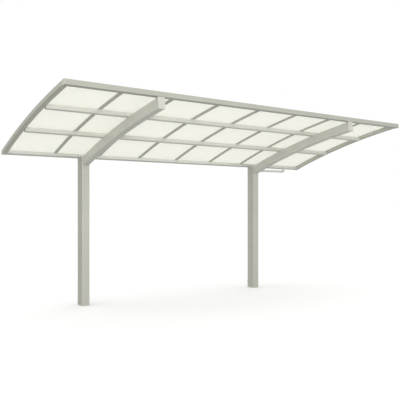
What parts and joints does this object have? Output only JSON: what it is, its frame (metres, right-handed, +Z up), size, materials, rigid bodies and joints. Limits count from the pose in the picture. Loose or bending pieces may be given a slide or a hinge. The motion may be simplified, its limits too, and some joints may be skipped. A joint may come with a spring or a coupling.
{
  "type": "cantilevered carport",
  "caption": "Open cantilevered carport: two rear posts carry curved arms, purlins, rafters and a milky arched panel roof with a rear gutter and downpipe.",
  "frame": {"origin": "centre of the left post's foot, at ground level", "axes": "+X along the length of the roof, from the left post to the right post as seen from the open front; +Y to the rear, the gutter side; +Z up"},
  "size_m": [5.788, 2.488, 2.8769],
  "materials": {
    "frame": "satin anodised, warm grey",
    "cap": "moulded, matched to the frame",
    "panel": "milky translucent polycarbonate",
    "rainwater_pipe": "smooth, matched to the frame"
  },
  "bodies": {
    "root": {"cover_strips": "frame", "downpipe": "rainwater_pipe", "downpipe_shoe": "rainwater_pipe", "drain_pipe": "rainwater_pipe", "front_purlin": "frame", "front_rail": "frame", "gutter": "frame", "gutter_outlet": "rainwater_pipe", "left_arm": "frame", "left_arm_end_cap": "cap", "left_arm_plate": "frame", "left_gutter_cap": "cap", "left_post": "frame", "left_post_head": "cap", "left_rail_cap": "cap", "left_side_frame": "frame", "outlet_elbow": "rainwater_pipe", "pipe_clips": "rainwater_pipe", "post_elbow": "rainwater_pipe", "rafter_1": "frame", "rafter_2": "frame", "rafter_3": "frame", "rafter_4": "frame", "rafter_5": "frame", "rafter_6": "frame", "rafter_7": "frame", "rail_saddles": "frame", "rear_purlin": "frame", "right_arm": "frame", "right_arm_end_cap": "cap", "right_arm_plate": "frame", "right_gutter_cap": "cap", "right_post": "frame", "right_post_head": "cap", "right_rail_cap": "cap", "right_side_frame": "frame", "roof_panel_1": "panel", "roof_panel_2": "panel", "roof_panel_3": "panel", "roof_panel_4": "panel", "roof_panel_5": "panel", "roof_panel_6": "panel", "roof_panel_7": "panel", "roof_panel_8": "panel"}
  },
  "joints": []
}
